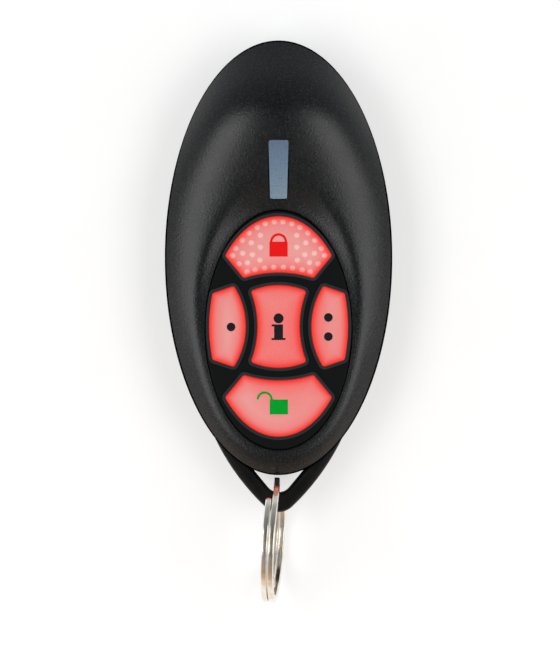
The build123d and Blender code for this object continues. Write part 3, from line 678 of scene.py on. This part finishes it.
def lens_material():
    """Frosted grey-blue plastic, a little paler towards its lower end, with a mottled grain."""
    grain_size = 0.0002
    grain_depth = 0.00001
    material, tree, shader = material_of("frosted_lens")
    reach = (lens_top_y - lens_bottom_y) * mm
    place = place_of(tree, (0, lens_bottom_y * mm, 0), (1, 1 / reach, 1))
    parts = tree.nodes.new("ShaderNodeSeparateXYZ")
    tree.links.new(place, parts.inputs[0])
    darker = colours(tree, parts.outputs["Y"], [
        (0.0, (0.19, 0.30, 0.40)), (0.5, (0.14, 0.22, 0.325)), (1.0, (0.095, 0.155, 0.255)),
    ])
    paler = colours(tree, parts.outputs["Y"], [
        (0.0, (0.27, 0.39, 0.50)), (0.5, (0.21, 0.31, 0.42)), (1.0, (0.15, 0.225, 0.34)),
    ])
    fine = noise(tree, grain_size, 3.0)
    paint = mixed(tree, between(tree, fine, 0.0, 1.0, 0.35, 0.65), darker, paler)
    tree.links.new(paint, shader.inputs["Base Color"])
    tree.links.new(between(tree, fine, 0.38, 0.52), shader.inputs["Roughness"])
    tree.links.new(bump(tree, fine, 0.3, grain_depth), shader.inputs["Normal"])
    return material


def board_material():
    """Green solder mask over a pattern of tracks."""
    tracks_per_metre = 520
    track_depth = 0.00002
    grain_size = 0.0002
    material, tree, shader = material_of("board")
    tracks = tree.nodes.new("ShaderNodeTexBrick")
    tracks.inputs["Scale"].default_value = tracks_per_metre
    tracks.inputs["Mortar Size"].default_value = 0.12
    tracks.inputs["Color1"].default_value = (0.012, 0.13, 0.035, 1)
    tracks.inputs["Color2"].default_value = (0.018, 0.17, 0.05, 1)
    tracks.inputs["Mortar"].default_value = (0.03, 0.26, 0.08, 1)
    tree.links.new(place_of(tree), tracks.inputs["Vector"])
    tree.links.new(tracks.outputs[0], shader.inputs["Base Color"])
    fine = noise(tree, grain_size, 3.0)
    tree.links.new(between(tree, fine, 0.28, 0.42), shader.inputs["Roughness"])
    tree.links.new(bump(tree, tracks.outputs[1], 0.3, track_depth), shader.inputs["Normal"])
    return material


sign_grain = dict(rough=(0.45, 0.6), size=0.00008, depth=0.000005)
finishes = {
    # Painted shade: a darker, duller copy of the front cover's black, for the rear cover and its
    # shadowed loop
    "shaded_loop_black": dict(
        low=(0.0030, 0.0028, 0.0026), high=(0.0062, 0.0058, 0.0055), rough=(0.38, 0.46),
        size=0.0002, depth=0.000015, strength=0.8, shine=0.15,
    ),
    # Painted glow: the red and green signs glow, standing in for the keys' backlight, with no
    # lamp behind them
    "red_sign": dict(
        low=(0.86, 0.006, 0.006), high=(0.92, 0.010, 0.010), **sign_grain, shine=0.1,
        glow=(0.9, 0.01, 0.01),
    ),
    "green_sign": dict(
        low=(0.0, 0.33, 0.025), high=(0.002, 0.38, 0.032), **sign_grain, shine=0.05,
        glow=(0.0, 0.4, 0.03),
    ),
    "dark_sign": dict(
        low=(0.004, 0.006, 0.010), high=(0.007, 0.009, 0.014), **sign_grain, shine=0.2,
    ),
    "switch_stem": dict(
        low=(0.66, 0.63, 0.56), high=(0.76, 0.74, 0.68), rough=(0.4, 0.5),
        size=0.0001, depth=0.000005,
    ),
    "switch_body": dict(
        low=(0.02, 0.02, 0.024), high=(0.035, 0.035, 0.04), rough=(0.4, 0.55),
        size=0.0001, depth=0.000008,
    ),
    "led": dict(
        low=(0.62, 0.60, 0.55), high=(0.8, 0.78, 0.7), rough=(0.15, 0.3),
        size=0.0001, depth=0.000003,
    ),
    "chip": dict(
        low=(0.018, 0.018, 0.018), high=(0.03, 0.03, 0.03), rough=(0.45, 0.62),
        size=0.00007, depth=0.000008,
    ),
    "can": dict(
        low=(0.62, 0.62, 0.6), high=(0.76, 0.76, 0.74), rough=(0.2, 0.35),
        size=0.0001, depth=0.000004, metallic=1.0,
    ),
    "copper": dict(
        low=(0.62, 0.30, 0.15), high=(0.78, 0.44, 0.26), rough=(0.25, 0.4),
        size=0.00012, depth=0.000005, metallic=1.0,
    ),
    "cell": dict(
        low=(0.60, 0.60, 0.61), high=(0.74, 0.74, 0.74), rough=(0.22, 0.38),
        size=0.0001, depth=0.000005, metallic=1.0, stretch=(1, 12, 1),
    ),
    "spring_metal": dict(
        low=(0.55, 0.54, 0.5), high=(0.7, 0.69, 0.66), rough=(0.25, 0.4),
        size=0.0001, depth=0.000005, metallic=1.0, stretch=(12, 1, 1),
    ),
    "screw_steel": dict(
        low=(0.38, 0.38, 0.39), high=(0.56, 0.56, 0.55), rough=(0.3, 0.45),
        size=0.0001, depth=0.000006, metallic=1.0,
    ),
    "nickel": dict(
        low=(0.80, 0.71, 0.58), high=(0.95, 0.91, 0.84), rough=(0.14, 0.26),
        size=0.00012, depth=0.000003, metallic=1.0,
    ),
}
skins = {name: grained(name, **finish) for name, finish in finishes.items()}
skins["satin_black"] = cover_material()
skins["red_key"] = key_material()
skins["soft_black"] = frame_material()
skins["frosted_lens"] = lens_material()
skins["board"] = board_material()
for part in frame["record"]["subparts"]:
    node = nodes[part["node"]]
    node.data.materials.clear()
    node.data.materials.append(skins[part["material_slot"]])
# The rear cover with its loop gets a darker, duller copy of the black plastic: painted shade, as
# its lower loop lies in shadow
nodes["rear_cover"].data.materials[0] = skins["shaded_loop_black"]

shell = front_shell(skins["satin_black"])
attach(shell, "casing")
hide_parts("front_cover")
# The bumps of the lock key need smaller triangles
cap_pitches = {"lock": 0.13, "unlock": 0.25, "info": 0.25, "one_dot": 0.25, "two_dot": 0.25}
for name, pitch in cap_pitches.items():
    key_cap(name, pitch, skins["red_key"])
split_ring(skins["nickel"])

# Floor, light and camera
def paper_material():
    """Paper that shows as white to the camera, in mirrors and through clear pieces, and keeps
    the object's shadow."""
    mottle_size = 0.01
    shown_glow = 0.5
    material, tree, shader = material_of("paper")
    shader.inputs["Roughness"].default_value = 0.9
    shader.inputs["Specular IOR Level"].default_value = 0.0
    whites = [(0.3, (0.70, 0.70, 0.70)), (0.7, (0.72, 0.72, 0.72))]
    tree.links.new(colours(tree, noise(tree, mottle_size), whites), shader.inputs["Base Color"])
    paths = tree.nodes.new("ShaderNodeLightPath")
    shown = paths.outputs["Is Camera Ray"]
    for ray in ("Is Glossy Ray", "Is Transmission Ray"):
        total = tree.nodes.new("ShaderNodeMath")
        total.operation = "ADD"
        tree.links.new(shown, total.inputs[0])
        tree.links.new(paths.outputs[ray], total.inputs[1])
        shown = total.outputs[0]
    glow = between(tree, shown, 0.0, shown_glow, 0.0, 1.0)
    tree.links.new(glow, shader.inputs["Emission Strength"])
    shader.inputs["Emission Color"].default_value = (1, 1, 1, 1)
    return material


def surroundings():
    """Light from all round: warm from the ring's end, brightest from the sides, cooler from the
    crest's end, and darker the higher it comes from."""
    world = bpy.data.worlds.new("surroundings")
    world.use_nodes = True
    tree = world.node_tree
    direction = tree.nodes.new("ShaderNodeTexCoord")
    parts = tree.nodes.new("ShaderNodeSeparateXYZ")
    tree.links.new(direction.outputs["Generated"], parts.inputs[0])
    tint = colours(tree, between(tree, parts.outputs["Y"], 0.0, 1.0, -1.0, 1.0), [
        (0.08, (0.85, 0.66, 0.52)), (0.25, (1.3, 1.18, 1.1)), (0.42, (1.45, 1.44, 1.45)),
        (0.5, (1.15, 1.15, 1.17)), (0.64, (0.70, 0.73, 0.74)), (0.9, (0.62, 0.66, 0.68)),
    ])
    level = colours(tree, parts.outputs["Z"], [
        (0.0, (1.1, 1.1, 1.1)), (0.22, (0.85, 0.85, 0.85)), (0.42, (0.55, 0.55, 0.55)),
        (0.64, (0.38, 0.38, 0.38)), (0.94, (0.105, 0.115, 0.12)),
    ])
    product = tree.nodes.new("ShaderNodeVectorMath")
    product.operation = "MULTIPLY"
    tree.links.new(tint, product.inputs[0])
    tree.links.new(level, product.inputs[1])
    tree.links.new(product.outputs[0], tree.nodes["Background"].inputs[0])
    return world


def softbox(name, place, aim, size, radiance):
    """A rectangular light of a given brightness, turned towards a point. Lengths in metres."""
    light = bpy.data.lights.new(name, "AREA")
    light.shape = "RECTANGLE"
    light.size, light.size_y = size
    light.energy = radiance * math.pi * size[0] * size[1]
    made = bpy.data.objects.new(name, light)
    made.location = place
    made.rotation_mode = "QUATERNION"
    made.rotation_quaternion = (Vector(aim) - Vector(place)).to_track_quat("-Z", "Y")
    bpy.context.scene.collection.objects.link(made)


def camera_above():
    """A long lens straight above the fob, as in the photograph. Lengths in metres, and those of
    the lens and its sensor in millimetres."""
    lens = 180.0
    sensor = 36.0
    view_height = 0.1049
    middle_x, middle_y = 0.00023, -0.01085
    data = bpy.data.cameras.new("camera")
    data.lens = lens
    data.sensor_width = sensor
    camera = bpy.data.objects.new("camera", data)
    camera.location = (middle_x, middle_y, parting_z * mm + view_height * lens / sensor)
    bpy.context.scene.collection.objects.link(camera)
    return camera


floor_reach = 1500
floor_z = -0.02
quarters = [(-1, -1), (1, -1), (1, 1), (-1, 1)]
floor_corners = [(x * floor_reach, y * floor_reach, floor_z) for x, y in quarters]
floor = new_object("floor", floor_corners, [[0, 1, 2, 3]], paper_material())

box_x, box_y, box_z = 0.3, -0.02, 0.45
box_aim = (0, -0.01, 0)
box_size = (0.42, 0.28)
left_radiance = 2.35
right_radiance = 2.05
softbox("left_box", (-box_x, box_y, box_z), box_aim, box_size, left_radiance)
softbox("right_box", (box_x, box_y, box_z), box_aim, box_size, right_radiance)

bpy.context.scene.world = surroundings()
bpy.context.scene.camera = camera_above()
bpy.context.scene.view_settings.view_transform = "Standard"
